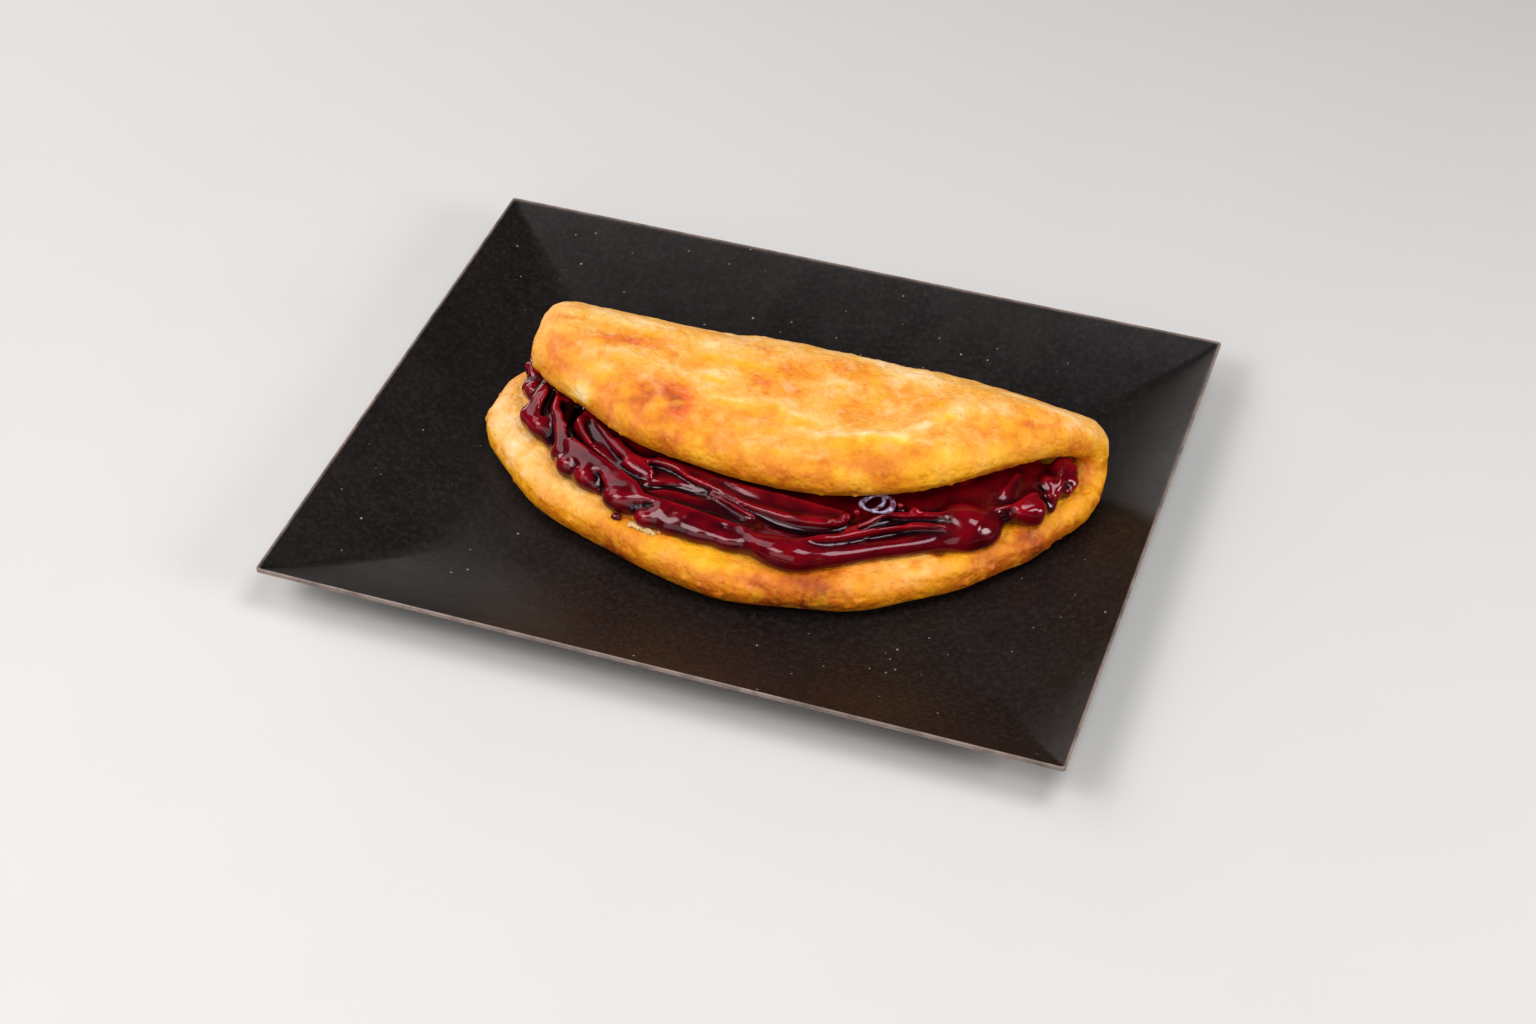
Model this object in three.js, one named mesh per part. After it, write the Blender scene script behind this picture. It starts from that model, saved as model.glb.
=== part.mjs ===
// A langos on its plate: a hand-stretched round of fried dough, folded over a thick layer of dark
// cherry jam, lying on a shallow black plate with four sloping sides.
//
// Millimetres, +Z up. The origin is the middle of the plate's underside. X runs along the plate's
// long side and along the fold of the dough, and the open mouth of the fold faces -Y.

import * as THREE from "three";

const { PI, abs, atan2, cos, exp, floor, hypot, max, min, sign, sin, sqrt } = Math;
const QUARTER = PI / 2;

// ---------------------------------------------------------------- driving dimensions

const PLATE_LENGTH = 231.5;
const PLATE_WIDTH = 181;
const PLATE_HEIGHT = 15;
const PLATE_WALL = 1.6;
const SLOPE_RUN = 46; // how far in from the edge each side slopes
const RIM_CORNER = 1; // radius of the plate's corners at the rim
const CORNER_OPENING = 0.12; // growth of that radius for each millimetre inwards

const DOUGH = 12; // thickness of the flat dough
const FOLD_Y = 19.5; // where the two flat layers end and the bend between them begins
const FOLD_X = 15; // the place along the fold that lies furthest back
const FOLD_BOW = 6; // how far the fold comes forward 100 mm to either side of there
const FOLD_GAP = 11; // clear height between the two layers
const FLAP_SAG = 3; // how far the upper layer's front edge hangs down
const END_DROP = 5; // how far the upper layer drops at the right-hand end of the fold
const ROUND_X = 7; // middle of the flat dough, along the fold
const ROUND_S = -15; // middle of the flat dough, across the fold
// Distance from that middle to the edge of the hand-stretched dough, every 15 degrees, from the
// right-hand end of the fold round by way of the upper layer's front.
const ROUND_RADII = [
  89, 92, 83, 79, 78, 77, 76, 76, 79, 82, 89, 83, 86, 93, 86, 80, 75, 74, 75, 74, 75, 76, 79, 83,
];

// Front edge of the jam on the lower layer, from the left-hand end of the fold to the right.
const JAM_FRONT = [
  [-77, 13], [-75, 3], [-68, -11], [-56, -20], [-44, -30], [-28, -36], [-6, -40], [12, -41],
  [25, -43.5], [37, -38], [52, -26.5], [68, -20.5], [76, -11], [84, -4], [87, 6], [90, 16],
];
const JAM_HEAP = 20; // how far back from its front edge the jam reaches its full height
const JAM_LIP = 1.5; // height of the jam's outermost edge
const ROW_CROWDING = 1.4; // how much closer the jam's rows of vertices lie towards the front
// Lobes where the jam wells out of the mouth: place, reach and height.
const JAM_LOBES = [
  { x: -72, y: 4, reach: 6, height: 2 },
  { x: -62, y: -10, reach: 6, height: 2 },
  { x: -48, y: -22, reach: 8, height: 1.5 },
  { x: -22, y: -32, reach: 9, height: 1.5 },
  { x: 22, y: -36, reach: 12, height: 3 },
  { x: 58, y: -19, reach: 7, height: 2.5 },
  { x: 78, y: -4, reach: 6, height: 2 },
];

// Swellings and dents of the upper layer's crust: place on the dough, reach and height.
const CRUST_RELIEF = [
  { x: -56, s: 28, reach: 14, height: 0.5 },
  { x: -18, s: 34, reach: 16, height: -1.2 },
  { x: 30, s: 26, reach: 18, height: -0.8 },
  { x: 44, s: 46, reach: 14, height: 0.8 },
  { x: 62, s: 24, reach: 14, height: -0.6 },
];

const CLEARANCE = 0.3; // between the dough and the plate
const JAM_CLEARANCE = 0.5; // between the jam and the uneven dough around it

const DOUGH_GRID = { along: 32, across: 36, edge: 4 };
const JAM_GRID = { along: 52, across: 12, edge: 1 };
const PLATE_CORNER_STEPS = 5;
const PLATE_SLOPE_STEPS = 7;

// ---------------------------------------------------------------- worked out from them

const SLOPE_RISE = PLATE_HEIGHT - PLATE_WALL;
const HALF_DOUGH = DOUGH / 2;
const BEND_RADIUS = (FOLD_GAP + DOUGH) / 2; // of the dough's middle surface
const HALF_BEND = BEND_RADIUS * QUARTER; // from the middle of the bend to a flat layer
const FOLD_Z = PLATE_WALL + CLEARANCE + DOUGH + FOLD_GAP / 2;

// ---------------------------------------------------------------- small helpers

const clamp = (value, low, high) => min(high, max(low, value));
/** 0 below start, 1 above end, and a smooth step between them. */
const ramp = (value, start, end) => THREE.MathUtils.smoothstep(value, start, end);
const total = (items, measure) => items.reduce((sum, item) => sum + measure(item), 0);
/** A round swelling's height at an offset from its middle. */
const swelling = (dx, dy, { reach, height }) => height * exp(-((hypot(dx, dy) / reach) ** 2));

/** A box grid with each vertex moved by place(u, v, w), where u, v and w run from -1 to 1. */
function warpedGrid(grid, place) {
  const geometry = new THREE.BoxGeometry(2, 2, 2, grid.along, grid.across, grid.edge);
  const positions = geometry.attributes.position;
  for (let i = 0; i < positions.count; i++) {
    positions.setXYZ(i, ...place(positions.getX(i), positions.getY(i), positions.getZ(i)));
  }
  return geometry;
}

function namedMesh(name, geometry, material) {
  geometry.computeVertexNormals();
  const mesh = new THREE.Mesh(geometry, material);
  mesh.name = name;
  return mesh;
}

// ---------------------------------------------------------------- plate

/** How far the plate has risen at a distance in from its edge. */
const slopeHeight = (inset) => SLOPE_RISE * max(1 - inset / SLOPE_RUN, 0) ** 2;

/** How far the plate has risen at a place on it. */
const plateRise = (x, y) =>
  slopeHeight(min(PLATE_LENGTH / 2 - abs(x), PLATE_WIDTH / 2 - abs(y)));

/** A point of the rounded rectangle at an inset from the edge: share 0 to 1 of one corner. */
function plateOutline(inset, corner, share) {
  const radius = RIM_CORNER + CORNER_OPENING * inset;
  const middle = (corner + 0.5) * QUARTER;
  const angle = (corner + share) * QUARTER;
  return [
    sign(cos(middle)) * (PLATE_LENGTH / 2 - inset - radius) + radius * cos(angle),
    sign(sin(middle)) * (PLATE_WIDTH / 2 - inset - radius) + radius * sin(angle),
  ];
}

/**
 * A lathe whose columns of vertices are spread over four corners instead of a circle. Each point
 * of its profile belongs to the rounded rectangle at that point's inset from the rim.
 */
function makePlate() {
  const insets = [];
  for (let i = 0; i <= PLATE_SLOPE_STEPS; i++) {
    insets.push(SLOPE_RUN * (1 - i / PLATE_SLOPE_STEPS));
  }
  const underside = insets.map((inset) => ({ inset, z: slopeHeight(inset) }));
  const inside = insets.map((inset) => ({ inset, z: slopeHeight(inset) + PLATE_WALL }));
  const profile = [...underside, ...inside.reverse()];
  const lathePoints = [
    new THREE.Vector2(0, 0),
    ...profile.map(({ inset, z }) => new THREE.Vector2(PLATE_WIDTH / 2 - inset, z)),
    new THREE.Vector2(0, PLATE_WALL),
  ];
  const cornerColumns = PLATE_CORNER_STEPS + 1;
  const geometry = new THREE.LatheGeometry(lathePoints, 4 * cornerColumns);
  const positions = geometry.attributes.position;
  for (let i = 0; i < positions.count; i++) {
    const column = floor(i / lathePoints.length) % (4 * cornerColumns);
    const { x: radius, y: z } = lathePoints[i % lathePoints.length];
    const corner = floor(column / cornerColumns);
    const share = (column % cornerColumns) / PLATE_CORNER_STEPS;
    const [x, y] = radius ? plateOutline(PLATE_WIDTH / 2 - radius, corner, share) : [0, 0];
    positions.setXYZ(i, x, y, z);
  }
  const material = new THREE.MeshStandardMaterial({ color: 0x151415, roughness: 0.35 });
  return namedMesh("plate", geometry, material);
}

// ---------------------------------------------------------------- folded dough

/** Distance from the middle of the flat dough to its edge: a closed Catmull-Rom curve. */
function roundRadius(angle) {
  const count = ROUND_RADII.length;
  const position = (angle / (2 * PI) + 1) * count;
  const step = floor(position);
  const [a, b, c, d] = [-1, 0, 1, 2].map((offset) => ROUND_RADII[(step + offset) % count]);
  const t = position - step;
  return b + 0.5 * t * (c - a + t * (2 * a - 5 * b + 4 * c - d + t * (3 * (b - c) + d - a)));
}

/** Where the bend begins, at a place along the fold. */
const bendStart = (x) => FOLD_Y - FOLD_BOW * ((x - FOLD_X) / 100) ** 2;

/** How far the upper layer hangs below its height at the middle of the fold. */
function flapDrop(x, y) {
  const sag = FLAP_SAG * ramp(x, -60, 0) * ramp(FOLD_Y - y, 5, 45);
  return sag + END_DROP * (max(x - 60, 0) / 40) ** 2;
}

/**
 * Where a point of the flat dough lies once folded. s runs across the fold from its middle, to
 * the lower layer below 0 and the upper one above, and out is the distance from the dough's
 * middle surface, away from the jam.
 */
function fold(x, s, out) {
  const angle = clamp(s / BEND_RADIUS, -QUARTER, QUARTER);
  const run = max(abs(s) - HALF_BEND, 0);
  const radius = BEND_RADIUS + out;
  const y = bendStart(x) - run + radius * cos(angle);
  const upper = ramp(s, -HALF_BEND, HALF_BEND);
  const shift = (1 - upper) * plateRise(x, y) - upper * flapDrop(x, y);
  return [x, y, FOLD_Z + radius * sin(angle) + shift];
}

/** Swellings and dents of the upper layer's outer crust. */
const crustRelief = (x, s) => total(CRUST_RELIEF, (spot) => swelling(x - spot.x, s - spot.s, spot));

/** A flat round with a rounded edge, its outer crust at w = -1, folded over. */
function makeDough() {
  const geometry = warpedGrid(DOUGH_GRID, (u, v, w) => {
    const discX = u * sqrt(1 - v * v / 2);
    const discS = v * sqrt(1 - u * u / 2);
    const angle = atan2(discS, discX);
    const edge = w * QUARTER;
    const distance = hypot(discX, discS) * (roundRadius(angle) - HALF_DOUGH) + HALF_DOUGH * cos(edge);
    const x = ROUND_X + distance * cos(angle);
    const s = ROUND_S + distance * sin(angle);
    const out = -HALF_DOUGH * sin(edge);
    return fold(x, s, out + (w === -1 ? crustRelief(x, s) : 0));
  });
  const material = new THREE.MeshStandardMaterial({ color: 0xe0a050, roughness: 0.6 });
  return namedMesh("bread", geometry, material);
}

// ---------------------------------------------------------------- jam

/**
 * A slab that fills the fold from its bend to the mouth, and falls from there to a low front
 * edge on the lower layer. u runs along the fold, and v from the front edge to the bend.
 */
function makeJam() {
  const front = new THREE.CatmullRomCurve3(JAM_FRONT.map(([x, y]) => new THREE.Vector3(x, y, 0)));
  const geometry = warpedGrid(JAM_GRID, (u, v, w) => {
    const edge = front.getPoint((u + 1) / 2);
    const back = new THREE.Vector3(edge.x, bendStart(edge.x), 0);
    const share = ((v + 1) / 2) ** ROW_CROWDING;
    const { x, y } = edge.clone().lerp(back, share);
    const base = FOLD_Z - FOLD_GAP / 2 + JAM_CLEARANCE + plateRise(x, y);
    if (w < 0) return [x, y, base];
    const ceiling = FOLD_Z + FOLD_GAP / 2 - JAM_CLEARANCE - flapDrop(x, y);
    const inwards = min((share * edge.distanceTo(back)) / JAM_HEAP, 1);
    const bulge = (ceiling - base - JAM_LIP) * sqrt(1 - (1 - inwards) ** 2);
    const lobes = total(JAM_LOBES, (lobe) => swelling(x - lobe.x, y - lobe.y, lobe));
    return [x, y, min(ceiling, base + JAM_LIP + bulge + lobes)];
  });
  const material = new THREE.MeshStandardMaterial({ color: 0x5a0a16, roughness: 0.12 });
  return namedMesh("cherry_jam", geometry, material);
}

// ---------------------------------------------------------------- the whole

const langos = new THREE.Group();
langos.add(makePlate(), makeDough(), makeJam());

export default langos;
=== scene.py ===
"""A langos on its plate: fried dough folded over dark cherry jam, on a shallow black plate.

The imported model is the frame. Its bread and jam are replaced by finer meshes worked out from the
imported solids, and its plate by the same plate with smooth slopes. Lengths are in millimetres
throughout, and MM turns them into Blender's metres. X runs along the fold of the bread, the mouth
of the fold faces -Y, and Z is up.
"""

import bpy
import numpy as np
import openvdb
from mathutils import Matrix, Vector


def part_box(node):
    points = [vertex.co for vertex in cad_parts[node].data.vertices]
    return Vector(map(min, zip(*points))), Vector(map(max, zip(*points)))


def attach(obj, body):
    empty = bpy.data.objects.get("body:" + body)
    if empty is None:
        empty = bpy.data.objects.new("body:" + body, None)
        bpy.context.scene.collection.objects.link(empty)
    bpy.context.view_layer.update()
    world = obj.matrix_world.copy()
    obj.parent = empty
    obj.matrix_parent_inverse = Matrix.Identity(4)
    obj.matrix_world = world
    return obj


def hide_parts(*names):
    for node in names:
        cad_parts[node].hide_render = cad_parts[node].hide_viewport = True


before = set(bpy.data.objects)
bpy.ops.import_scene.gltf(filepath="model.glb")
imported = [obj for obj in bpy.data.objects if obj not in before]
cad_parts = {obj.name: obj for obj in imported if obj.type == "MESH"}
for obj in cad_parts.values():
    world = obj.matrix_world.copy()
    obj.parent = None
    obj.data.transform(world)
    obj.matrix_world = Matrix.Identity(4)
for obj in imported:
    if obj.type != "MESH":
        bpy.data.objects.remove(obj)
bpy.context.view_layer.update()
MM = 0.001

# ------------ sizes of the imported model

PLATE_WALL = 1.6
SLOPE_RUN = 46  # how far in from the edge each side of the plate slopes
RIM_CORNER = 0.9  # rounding of the plate's corners at the rim
CORNER_OPENING = 0.12  # how much rounder they get for each millimetre further in
RIM_EDGE = 0.35  # rounding of the rim's edges
FOLD_Y = 19.5  # where the bend of the dough begins
FOLD_X = 15  # the place along the fold that lies furthest back
FOLD_BOW = 6  # how far the fold comes forward 100 mm to either side of there
FOLD_Z = 19.4  # height of the middle of the fold
FLAP_SAG = 3  # how far the upper layer's front edge hangs down
END_DROP = 5  # how far the upper layer drops at the right-hand end of the fold
END_START = 60  # where along X it begins to drop
END_RUN = 40

# How fine the meshes are, in millimetres.
BREAD_VOXEL = 0.78
JAM_VOXEL = 0.5
SMALL_VOXEL = 0.22
BAND = 8.0  # width in voxels of the distances kept on each side of a surface
MARGIN = 3  # room for blending around a shape


# ------------ helpers: numbers

def ramp(value, start, end):
    """0 at start, 1 at end, and a smooth step between them."""
    share = np.clip((value - start) / (end - start), 0, 1)
    return share * share * (3 - 2 * share)


def smooth_min(a, b, blend):
    """The smaller of two distances, rounded where they are within blend of each other."""
    share = np.clip(0.5 + 0.5 * (b - a) / blend, 0, 1)
    return b * (1 - share) + a * share - blend * share * (1 - share)


NOISE_CELLS = 32
NOISE_TURN = np.array(Matrix.Rotation(0.9, 3, Vector((1, 2, 3))))


def noise(points, size, seed):
    """Smooth random values between -1 and 1 that change over the given size."""
    lattice = np.random.default_rng(seed).uniform(-1, 1, (NOISE_CELLS,) * 3)
    place = points / size + seed * 0.37
    cell = np.floor(place).astype(int)
    share = place - cell
    share = share * share * (3 - 2 * share)
    value = np.zeros(points.shape[:-1])
    for corner in np.ndindex(2, 2, 2):
        weight = np.where(corner, share, 1 - share).prod(axis=-1)
        index = (cell + corner) % NOISE_CELLS
        value += weight * lattice[index[..., 0], index[..., 1], index[..., 2]]
    return value


def rough_noise(points, size, seed, octaves=3):
    """Noise in several sizes, each half as large and as strong as the last, and turned."""
    value = np.zeros(points.shape[:-1])
    for octave in range(octaves):
        value += 0.5**octave * noise(points, size / 2**octave, seed + octave)
        points = points @ NOISE_TURN
    return value


# ------------ helpers: meshes

def node_mesh(name):
    """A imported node's points, with doubled ones joined, and its triangles."""
    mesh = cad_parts[name].data
    points = np.empty(len(mesh.vertices) * 3)
    mesh.vertices.foreach_get("co", points)
    points = np.round(points.reshape(-1, 3) / MM, 4)
    mesh.calc_loop_triangles()
    triangles = np.empty(len(mesh.loop_triangles) * 3, dtype=np.int64)
    mesh.loop_triangles.foreach_get("vertices", triangles)
    points, joined = np.unique(points, axis=0, return_inverse=True)
    return points, joined.ravel()[triangles].reshape(-1, 3)


def level_set(points, voxel, **faces):
    """The signed distances near a closed surface of triangles or quads."""
    faces = {kind: np.ascontiguousarray(face, dtype=np.uint32) for kind, face in faces.items()}
    return openvdb.FloatGrid.createLevelSetFromPolygons(
        np.ascontiguousarray(points, dtype=np.float32),
        transform=openvdb.createLinearTransform(voxelSize=voxel), halfWidth=BAND, **faces)


def face_normals(points, quads):
    """The quads' normals, each as long as twice its quad's area."""
    corners = points[quads]
    return np.cross(corners[:, 2] - corners[:, 0], corners[:, 3] - corners[:, 1])


def point_normals(points, quads):
    """The unit normal at each point."""
    faces = face_normals(points, quads)
    sums = [np.bincount(quads.ravel(), np.repeat(faces[:, axis], 4), len(points)) for axis in range(3)]
    normals = np.stack(sums, axis=1)
    return normals / np.maximum(np.linalg.norm(normals, axis=1, keepdims=True), 1e-12)


def surface(grid):
    """The zero surface of a grid of distances, as points and outward quads."""
    points, quads = grid.convertToQuads(0.0)
    points, quads = points.astype(float), quads.astype(np.int64)
    volume = (points[quads].mean(axis=1) * face_normals(points, quads)).sum()
    return points, quads if volume > 0 else quads[:, ::-1]


def neighbour_means(points, quads):
    """The middle of each point's neighbours."""
    starts, ends = quads.ravel(), np.roll(quads, -1, axis=1).ravel()
    here, there = np.concatenate([starts, ends]), np.concatenate([ends, starts])
    counts = np.bincount(here, minlength=len(points))
    sums = [np.bincount(here, points[there, axis], len(points)) for axis in range(3)]
    return np.stack(sums, axis=1) / counts[:, None]


def smoothed(points, quads, rounds):
    """Moves each point half way to the middle of its neighbours, round after round."""
    for _ in range(rounds):
        points = 0.5 * (points + neighbour_means(points, quads))
    return points


def make_object(name, points, faces, material, attributes=None):
    """A smooth-shaded mesh object, with named values at its points."""
    mesh = bpy.data.meshes.new(name)
    mesh.from_pydata((points * MM).tolist(), [], faces)
    for key, values in (attributes or {}).items():
        layer = mesh.attributes.new(key, "FLOAT", "POINT")
        layer.data.foreach_set("value", values.astype(np.float32))
    mesh.shade_smooth()
    mesh.materials.append(material)
    piece = bpy.data.objects.new(name, mesh)
    bpy.context.collection.objects.link(piece)
    return piece


# ------------ helpers: materials

def linear(colour):
    """A colour given as 0 to 255 on screen, as Blender's linear values."""
    if not isinstance(colour, tuple):
        return colour
    share = np.array(colour) / 255
    return (*np.where(share <= 0.04045, share / 12.92, ((share + 0.055) / 1.055) ** 2.4), 1)


class Nodes:
    """Short ways to add the nodes of one material."""

    def __init__(self, name):
        self.material = bpy.data.materials.new(name)
        self.material.use_nodes = True
        self.tree = self.material.node_tree
        self.shader = self.tree.nodes["Principled BSDF"]
        self.place = self.tree.nodes.new("ShaderNodeTexCoord").outputs["Object"]

    def feed(self, socket, value):
        """Gives a socket a plain value or another node's output."""
        if isinstance(value, bpy.types.NodeSocket):
            self.tree.links.new(value, socket)
        else:
            socket.default_value = value

    def set(self, **sockets):
        """Feeds the shader's sockets, named with _ for each space."""
        for key, value in sockets.items():
            self.feed(self.shader.inputs[key.replace("_", " ")], value)

    def add(self, kind, inputs, output=0, **settings):
        """Adds a node with its settings, feeds it, and gives one of its outputs."""
        node = self.tree.nodes.new("ShaderNode" + kind)
        for key, value in settings.items():
            setattr(node, key, value)
        for key, value in inputs.items():
            self.feed(node.inputs[key], value)
        return node.outputs[output]

    def attribute(self, name):
        """A value that make_object stored at the points."""
        return self.add("Attribute", {}, "Fac", attribute_name=name)

    def math(self, operation, a, b, clamp=False):
        return self.add("Math", {0: a, 1: b}, operation=operation, use_clamp=clamp)

    def noise(self, size, detail=3, roughness=0.55, stretch=None):
        """Noise from 0 to 1 with features of about the given size in millimetres."""
        place = self.place
        if stretch:
            place = self.add("Mapping", {"Vector": place, "Scale": stretch})
        return self.add("TexNoise", {"Vector": place, "Scale": 1 / (size * MM), "Detail": detail,
                                     "Roughness": roughness})

    def cells(self, size, **settings):
        """The distance to the nearest of many scattered points."""
        inputs = {"Vector": self.place, "Scale": 1 / (size * MM)}
        return self.add("TexVoronoi", inputs, "Distance", **settings)

    def fit(self, value, low, high, to_low=0, to_high=1):
        """The value moved from one range to another, and held inside it."""
        return self.add("MapRange", {"Value": value, "From Min": low, "From Max": high,
                                     "To Min": to_low, "To Max": to_high})

    def ramp(self, value, stops):
        """Colours along a value. stops are pairs of a position and a colour on screen."""
        node = self.tree.nodes.new("ShaderNodeValToRGB")
        elements = node.color_ramp.elements
        for element, (position, colour) in zip(elements, (stops[0], stops[-1])):
            element.position, element.color = position, linear(colour)
        for position, colour in stops[1:-1]:
            elements.new(position).color = linear(colour)
        self.tree.links.new(value, node.inputs["Fac"])
        return node.outputs["Color"]

    def mix(self, share, a, b):
        """Colour a, and colour b where the share is 1. Each is a link or a colour on screen."""
        return self.add("Mix", {0: share, 6: linear(a), 7: linear(b)}, 2, data_type="RGBA")

    def bump(self, height, depth, onto=None):
        """Relief of the given depth in millimetres, on top of other relief."""
        inputs = {"Height": height, "Distance": depth * MM}
        if onto:
            inputs["Normal"] = onto
        return self.add("Bump", inputs)


# ------------ bread: shape

BREAD_SMOOTHING = 15  # in square millimetres, however fine the mesh
PARTING_Z = 18.4  # height of the gap between the two layers
COLUMN_WIDTH = 3  # width of the strips that the front edge is looked up in
LIP_DEPTH = 14  # how far behind the front edge the upper layer still moves
TIP_REACH = 1.2  # how far its left-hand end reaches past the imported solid

# How far the upper layer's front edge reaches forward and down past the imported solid, along X.
LIP_REACH = np.array([(-75, 2.1), (-60, 2.38), (-40, 2.24), (-15, 1.12), (5, 0.77), (25, 0.84),
                      (44, 0.84), (60, 1.61), (75, 1.4), (95, 0.35)])

RIM_SPREAD = 0.007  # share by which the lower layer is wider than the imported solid
RIM_CENTRE = (8, 6)

# Where its rim spreads further still: place in plan, half width, and how far in X and Y.
RIM_BULGES = [
    ((95, 18), 8, (1.7, -0.8)), ((92, 8), 9, (2.3, -2.3)), ((83, -6), 9, (1.6, -2.2)),
    ((66, -24), 12, (0.7, -1.2)), ((44, -43), 14, (0.5, -1.4)),
    ((-58, -32), 13, (-0.6, -0.9)), ((-80, 8), 6, (-1.3, 1.4)),
]

# Each mark on the bread gives the X and Y of its middle, its half length, its half width, its turn
# in degrees from the X axis, and its amount in millimetres of height or in steps of browning.
FLAP_RELIEF = [
    # Crests that the fried skin forms where it wrinkled, and the hollows behind them.
    (26, -10, 9, 2.4, 8, 0.8), (38, -6, 9, 2, 16, 0.9), (48, 3, 9, 2, 48, 0.8),
    (57, 12, 8, 2.4, 30, 0.6), (36, 4, 15, 7, 14, -1.3), (11, 10, 9, 6, 60, -1.1),
    (15, -4, 7, 3, 0, 0.6), (-3, -2, 12, 3, 5, 0.8), (-15, 5, 8, 3, 15, 0.7), (-6, 8, 9, 4, 0, -0.8),
    (-21, 8, 4, 3, 0, -0.7), (-45, 3, 12, 3, 10, 0.7), (-30, -10, 9, 7, -20, -0.6),
    (-20, -10, 5, 3.5, -60, -0.5), (-46, 14, 10, 4, 8, -0.7), (-62, 8, 8, 6, 30, 0.6),
    (52, 14, 8, 2, 5, 0.5), (70, 8, 14, 5, 15, -0.7), (72, 22, 16, 3, -3, 0.6),
    (4, -14, 12, 2, 10, -0.35), (67, -4, 8, 5, 25, 0.5), (-25, 28, 26, 9, 0, -1.4),
    (72, 25, 18, 7, -8, -0.9),
    # Fine creases.
    (-22.5, -0.5, 3.4, 0.8, -14, -0.7), (-47, 12.5, 8, 0.8, 10, -0.35), (-39.5, 10, 4.5, 0.8, 0, -0.4),
    (-42, 16, 6, 0.8, -6, -0.3), (-28, 8.5, 1.4, 1.2, 0, -0.8), (5, -15, 5, 0.8, 12, -0.35),
    (10, -8, 6, 0.7, 0, -0.3), (31, -21, 4, 0.9, -40, 0.5), (36, -21, 4, 0.9, 10, 0.5),
    (30, -23, 3, 0.8, 60, -0.4),
]

LOWER_RELIEF = [
    (61, -22.5, 2.6, 2, 0, -1.6), (47, -35, 5, 0.8, 35, -0.8), (55, -31, 4, 0.7, 20, -0.5),
    (18, -50, 6, 0.8, -4, -0.7), (84, -7, 5, 3, 40, -0.7), (66, -27, 8, 3, 20, 0.5),
    (4, -43, 12, 3, -4, -0.6), (-30, -41, 12, 3, -20, 0.4), (-60, -20, 14, 6, -40, 0.4),
]


def bend_start(x):
    """Where the bend of the dough begins, at each place along the fold."""
    return FOLD_Y - FOLD_BOW * ((x - FOLD_X) / 100) ** 2


def marked(points, marks, waver=0, seed=0):
    """The sum of the marks at each point's place in plan. waver makes their outlines uneven."""
    x, y = points[:, 0], points[:, 1]
    if waver:
        x = x + waver * rough_noise(points, WAVER_SIZE, seed)
        y = y + waver * rough_noise(points, WAVER_SIZE, seed + 10)
    total = np.zeros(len(points))
    for mark_x, mark_y, length, width, degrees, amount in marks:
        turn = np.radians(degrees)
        along = (x - mark_x) * np.cos(turn) + (y - mark_y) * np.sin(turn)
        across = (y - mark_y) * np.cos(turn) - (x - mark_x) * np.sin(turn)
        total += amount * np.exp(-((along / length) ** 2) - (across / width) ** 2)
    return total


def flap_drop(x, y):
    """How far the upper layer hangs down, towards its front edge and at the right-hand end."""
    sag = FLAP_SAG * ramp(x, -60, 0) * ramp(FOLD_Y - y, 5, 45)
    return sag + END_DROP * (np.maximum(x - END_START, 0) / END_RUN) ** 2


def bread_surfaces(points, normals):
    """How far each point is on the flap's outer crust, and on the lower layer's upper side."""
    middle = FOLD_Z - 0.5 * flap_drop(points[:, 0], points[:, 1])
    upper = ramp(points[:, 2], middle, middle + 3)
    return upper * ramp(normals[:, 2], -0.4, 0.1), (1 - upper) * ramp(normals[:, 2], 0.1, 0.7)


def puckers(points):
    """Small rounded swellings of the fried skin, with creases between them."""
    return 0.42 * (abs(noise(points, 4.6, 3)) - 0.3) + 0.2 * (abs(noise(points, 2.5, 4)) - 0.3)


def move_lip(points, upper):
    """How far each point moves as the upper layer's front edge and left-hand end reach out."""
    x, y = points[:, 0], points[:, 1]
    columns = np.round(x / COLUMN_WIDTH).astype(int)
    columns -= columns.min()
    front = np.full(columns.max() + 1, np.inf)
    np.minimum.at(front, columns, np.where(upper > 0.5, y, np.inf))
    near = (upper > 0.02) * ramp(y - front[columns], LIP_DEPTH, 1)
    reach = near * np.interp(x, *LIP_REACH.T)
    stretch = TIP_REACH * upper * ramp(x, -50, -70) * ramp(y, -4, 8)
    return -np.column_stack([stretch, reach, reach])


def move_rim(points, lower):
    """How far each point moves in X and Y as the lower layer's rim spreads."""
    plan = points[:, :2]
    spread = RIM_SPREAD * lower * ramp(plan[:, 1], 24, 8)
    move = spread[:, None] * (plan - RIM_CENTRE)
    for place, size, bulge in RIM_BULGES:
        share = lower * np.exp(-((plan - place) ** 2).sum(axis=1) / size**2)
        move += share[:, None] * bulge
    return move


def reach_out(points):
    """Moves the upper layer's edge out over the jam, and the lower one's rim over the plate."""
    x, y, z = points.T
    parting = PARTING_Z - flap_drop(x, y)
    upper = ramp(z, parting, parting + 2)
    moved = points + move_lip(points, upper)
    moved[:, :2] += move_rim(points, 1 - upper)
    return moved


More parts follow.
